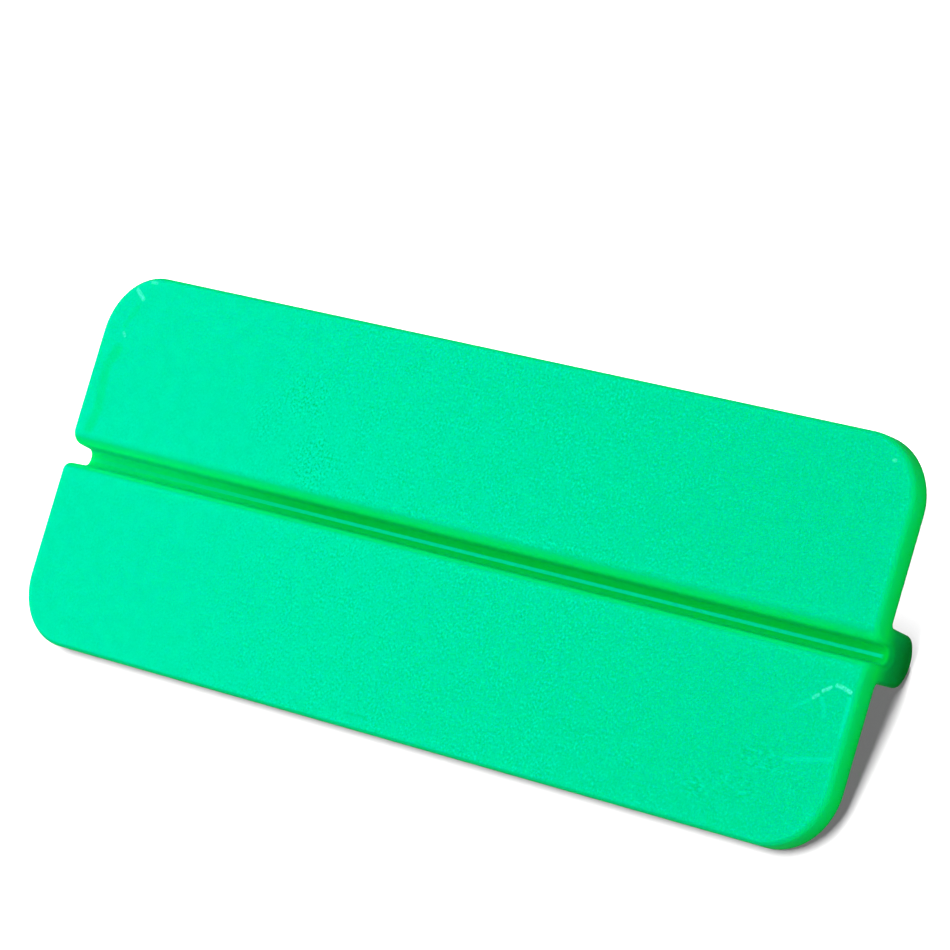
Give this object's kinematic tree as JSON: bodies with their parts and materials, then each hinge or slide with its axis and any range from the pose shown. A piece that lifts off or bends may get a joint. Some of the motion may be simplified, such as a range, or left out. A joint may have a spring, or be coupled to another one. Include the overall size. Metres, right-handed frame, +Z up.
{
  "type": "squeegee applicator",
  "caption": "Hand squeegee for smoothing vinyl film: a flat plate with rounded corners, a narrow groove along the middle of its front and a crowned rib along its back.",
  "frame": {"origin": "centre of the bounding box in X and Y, on the table that the tool lies on", "axes": "+X along the tool, +Y across it from the lower blade to the raised upper blade, +Z up from the table; the front face leans 13.0 degrees back from +Z towards -Y"},
  "size_m": [0.1016, 0.0376, 0.011],
  "materials": {
    "green_plastic": "bright green translucent plastic with a fine moulded grain, lightly scuffed"
  },
  "bodies": {
    "root": {"centre_rib": "green_plastic", "upper_blade": "green_plastic", "lower_blade": "green_plastic"}
  },
  "joints": []
}
